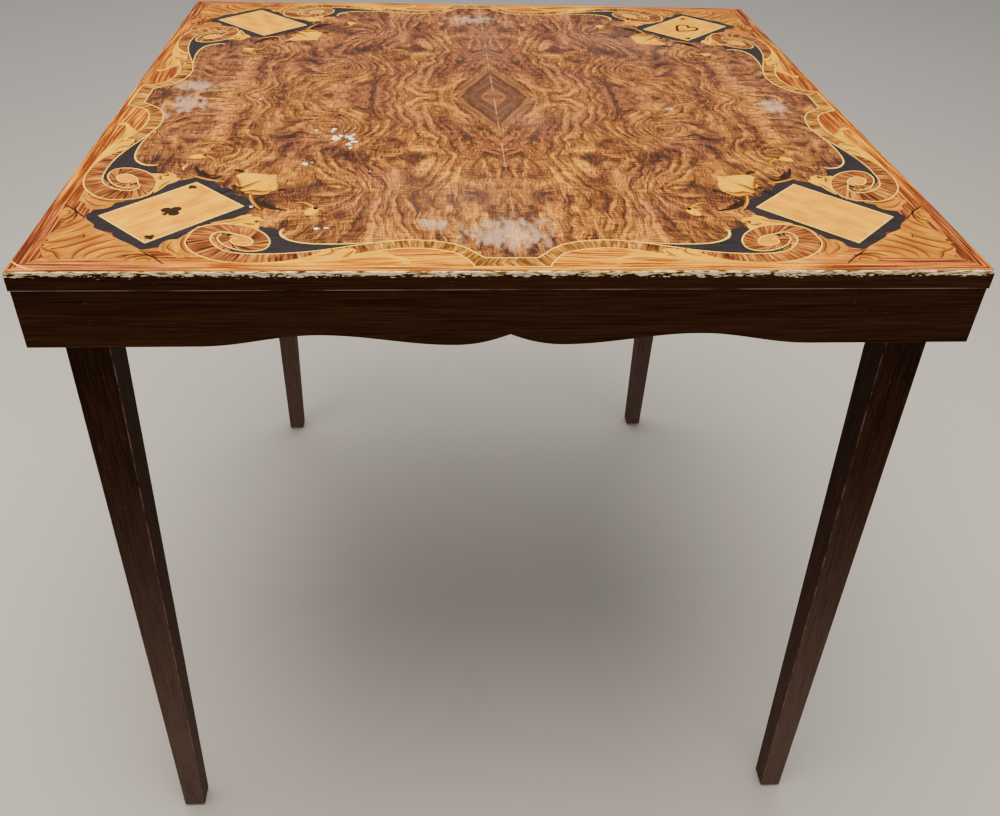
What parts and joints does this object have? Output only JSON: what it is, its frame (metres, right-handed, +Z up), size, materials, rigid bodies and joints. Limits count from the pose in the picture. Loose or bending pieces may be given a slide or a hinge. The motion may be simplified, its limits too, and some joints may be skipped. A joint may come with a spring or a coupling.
{
  "type": "folding card table",
  "caption": "Square card table with an inlaid top, a shaped apron and tapered legs that fold flat into the frame on slotted steel braces.",
  "frame": {"origin": "on the floor, under the centre of the top", "axes": "+Z up, +X to the right and -Y towards the front, as in the picture; the front legs fold towards +Y and the rear legs towards -Y"},
  "size_m": [0.762, 0.762, 0.73],
  "materials": {
    "apron_walnut": "dark stained walnut, varnished",
    "inner_wood": "planed softwood, stained",
    "plated_steel": "zinc-plated steel, aged",
    "border_rosewood": "polished reddish straight-grained veneer",
    "burl_walnut": "polished burl walnut veneer",
    "satinwood": "polished satinwood veneer",
    "ebonised_veneer": "polished ebonised veneer",
    "lipping_walnut": "dark stained walnut, worn at the arris",
    "leg_walnut": "dark stained walnut, varnished",
    "core_wood": "plain core board",
    "cross_banding": "polished cross-banded veneer"
  },
  "bodies": {
    "root": {"apron_back": "apron_walnut", "apron_front": "apron_walnut", "apron_left": "apron_walnut", "apron_right": "apron_walnut", "bearer_left": "inner_wood", "bearer_right": "inner_wood", "bearer_screws": "plated_steel", "border_veneer": "border_rosewood", "burl_field": "burl_walnut", "card_panels": "satinwood", "dark_grounds": "ebonised_veneer", "edge_lipping_back": "lipping_walnut", "edge_lipping_front": "lipping_walnut", "edge_lipping_left": "lipping_walnut", "edge_lipping_right": "lipping_walnut", "glue_blocks": "inner_wood", "mitre_keys": "core_wood", "pivot_nuts": "plated_steel", "pivot_studs": "plated_steel", "pivot_washers": "plated_steel", "plate_screws": "plated_steel", "scroll_banding": "cross_banding", "side_plate_front_left": "plated_steel", "side_plate_front_right": "plated_steel", "side_plate_rear_left": "plated_steel", "side_plate_rear_right": "plated_steel", "top_core": "core_wood"},
    "leg_front_left": {"leg_front_left": "leg_walnut", "glide_front_left": "plated_steel", "brace_pin_front_left": "plated_steel"},
    "brace_front_left": {"brace_strap_front_left": "plated_steel", "slider_stud_front_left": "plated_steel"},
    "leg_front_right": {"leg_front_right": "leg_walnut", "glide_front_right": "plated_steel", "brace_pin_front_right": "plated_steel"},
    "brace_front_right": {"brace_strap_front_right": "plated_steel", "slider_stud_front_right": "plated_steel"},
    "leg_rear_left": {"leg_rear_left": "leg_walnut", "glide_rear_left": "plated_steel", "brace_pin_rear_left": "plated_steel"},
    "brace_rear_left": {"brace_strap_rear_left": "plated_steel", "slider_stud_rear_left": "plated_steel"},
    "leg_rear_right": {"leg_rear_right": "leg_walnut", "glide_rear_right": "plated_steel", "brace_pin_rear_right": "plated_steel"},
    "brace_rear_right": {"brace_strap_rear_right": "plated_steel", "slider_stud_rear_right": "plated_steel"}
  },
  "joints": [
    {"name": "fold_front_left", "type": "hinge", "parent": "root", "child": "leg_front_left", "pos_m": [-0.3433, -0.3368, 0.693], "axis": [1, 0, 0], "range_deg": [0, 91.5]},
    {"name": "brace_front_left_swing", "type": "hinge", "parent": "leg_front_left", "child": "brace_front_left", "pos_m": [-0.3433, -0.33903, 0.60803], "axis": [1, 0, 0], "range_deg": [-137.25, 0]},
    {"name": "fold_front_right", "type": "hinge", "parent": "root", "child": "leg_front_right", "pos_m": [0.3433, -0.3368, 0.693], "axis": [1, 0, 0], "range_deg": [0, 91.5]},
    {"name": "brace_front_right_swing", "type": "hinge", "parent": "leg_front_right", "child": "brace_front_right", "pos_m": [0.3433, -0.33903, 0.60803], "axis": [1, 0, 0], "range_deg": [-137.25, 0]},
    {"name": "fold_rear_left", "type": "hinge", "parent": "root", "child": "leg_rear_left", "pos_m": [-0.2993, 0.3368, 0.693], "axis": [-1, 0, 0], "range_deg": [0, 91.5]},
    {"name": "brace_rear_left_swing", "type": "hinge", "parent": "leg_rear_left", "child": "brace_rear_left", "pos_m": [-0.2993, 0.33903, 0.60803], "axis": [-1, 0, 0], "range_deg": [-137.25, 0]},
    {"name": "fold_rear_right", "type": "hinge", "parent": "root", "child": "leg_rear_right", "pos_m": [0.2993, 0.3368, 0.693], "axis": [-1, 0, 0], "range_deg": [0, 91.5]},
    {"name": "brace_rear_right_swing", "type": "hinge", "parent": "leg_rear_right", "child": "brace_rear_right", "pos_m": [0.2993, 0.33903, 0.60803], "axis": [-1, 0, 0], "range_deg": [-137.25, 0]}
  ],
  "couplings": [
    {"joint": "brace_front_left_swing", "follows": "fold_front_left", "ratio": -1.5},
    {"joint": "brace_front_right_swing", "follows": "fold_front_right", "ratio": -1.5},
    {"joint": "brace_rear_left_swing", "follows": "fold_rear_left", "ratio": -1.5},
    {"joint": "brace_rear_right_swing", "follows": "fold_rear_right", "ratio": -1.5}
  ]
}
